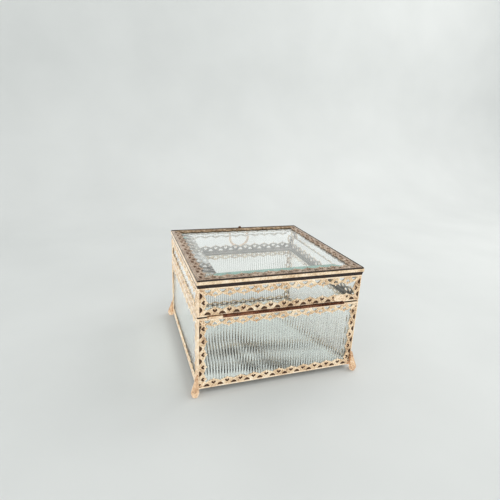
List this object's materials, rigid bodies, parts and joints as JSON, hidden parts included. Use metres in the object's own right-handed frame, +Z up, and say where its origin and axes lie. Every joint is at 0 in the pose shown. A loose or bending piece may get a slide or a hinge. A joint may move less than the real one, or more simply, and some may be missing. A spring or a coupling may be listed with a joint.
{
  "type": "trinket box",
  "caption": "Square glass trinket box with lace-pattern metal frame, fluted glass base on a mirror floor, hinged bevelled glass lid and a swinging ring pull.",
  "frame": {"origin": "bottom centre, on the table under the four feet", "axes": "+Z up; +Y towards the ring pull (the side that opens); -Y the hinge side; +X along the hinge"},
  "size_m": [0.1608, 0.1608, 0.1068],
  "materials": {
    "rose_brass": "polished rose-gold plate, softly worn",
    "dark_seam": "dark oxidised solder",
    "clear_glass": "clear, bevelled top pane",
    "fluted_glass": "clear with upright flutes",
    "mirror": "silvered, painted underneath"
  },
  "bodies": {
    "base": {"mirror_floor": "mirror", "base_pane_rear": "fluted_glass", "base_pane_right": "fluted_glass", "base_pane_front": "fluted_glass", "base_pane_left": "fluted_glass", "base_top_lace_rear": "rose_brass", "base_top_lace_right": "rose_brass", "base_top_lace_front": "rose_brass", "base_top_lace_left": "rose_brass", "base_foot_lace_rear": "rose_brass", "base_foot_lace_right": "rose_brass", "base_foot_lace_front": "rose_brass", "base_foot_lace_left": "rose_brass", "base_corner_rear_left": "rose_brass", "base_corner_rear_right": "rose_brass", "base_corner_front_right": "rose_brass", "base_corner_front_left": "rose_brass", "foot_rear_left": "rose_brass", "foot_rear_right": "rose_brass", "foot_front_right": "rose_brass", "foot_front_left": "rose_brass", "hinge_tube": "rose_brass", "hinge_pin": "rose_brass"},
    "lid": {"lid_knuckle_left": "rose_brass", "lid_knuckle_right": "rose_brass", "lid_pane_rear": "clear_glass", "lid_pane_right": "clear_glass", "lid_pane_front": "clear_glass", "lid_pane_left": "clear_glass", "lid_lower_lace_rear": "rose_brass", "lid_lower_lace_right": "rose_brass", "lid_lower_lace_front": "rose_brass", "lid_lower_lace_left": "rose_brass", "lid_upper_lace_rear": "rose_brass", "lid_upper_lace_right": "rose_brass", "lid_upper_lace_front": "rose_brass", "lid_upper_lace_left": "rose_brass", "lid_corner_rear_left": "rose_brass", "lid_corner_rear_right": "rose_brass", "lid_corner_front_right": "rose_brass", "lid_corner_front_left": "rose_brass", "lid_seam": "dark_seam", "lid_rail_rear": "rose_brass", "lid_rail_right": "rose_brass", "lid_rail_front": "rose_brass", "lid_rail_left": "rose_brass", "top_lace_rear": "rose_brass", "top_lace_right": "rose_brass", "top_lace_front": "rose_brass", "top_lace_left": "rose_brass", "top_glass": "clear_glass", "oval_plate": "rose_brass", "ring_eye": "rose_brass", "rail_bead": "rose_brass"},
    "ring": {"ring_pull": "rose_brass"}
  },
  "joints": [
    {"name": "lid_hinge", "type": "hinge", "parent": "base", "child": "lid", "pos_m": [-0.004, -0.0762, 0.0725], "axis": [1, 0, 0], "range_deg": [0, 105]},
    {"name": "ring_swing", "type": "hinge", "parent": "lid", "child": "ring", "pos_m": [0.005, 0.07815, 0.1], "axis": [1, 0, 0], "range_deg": [-4, 165]}
  ]
}
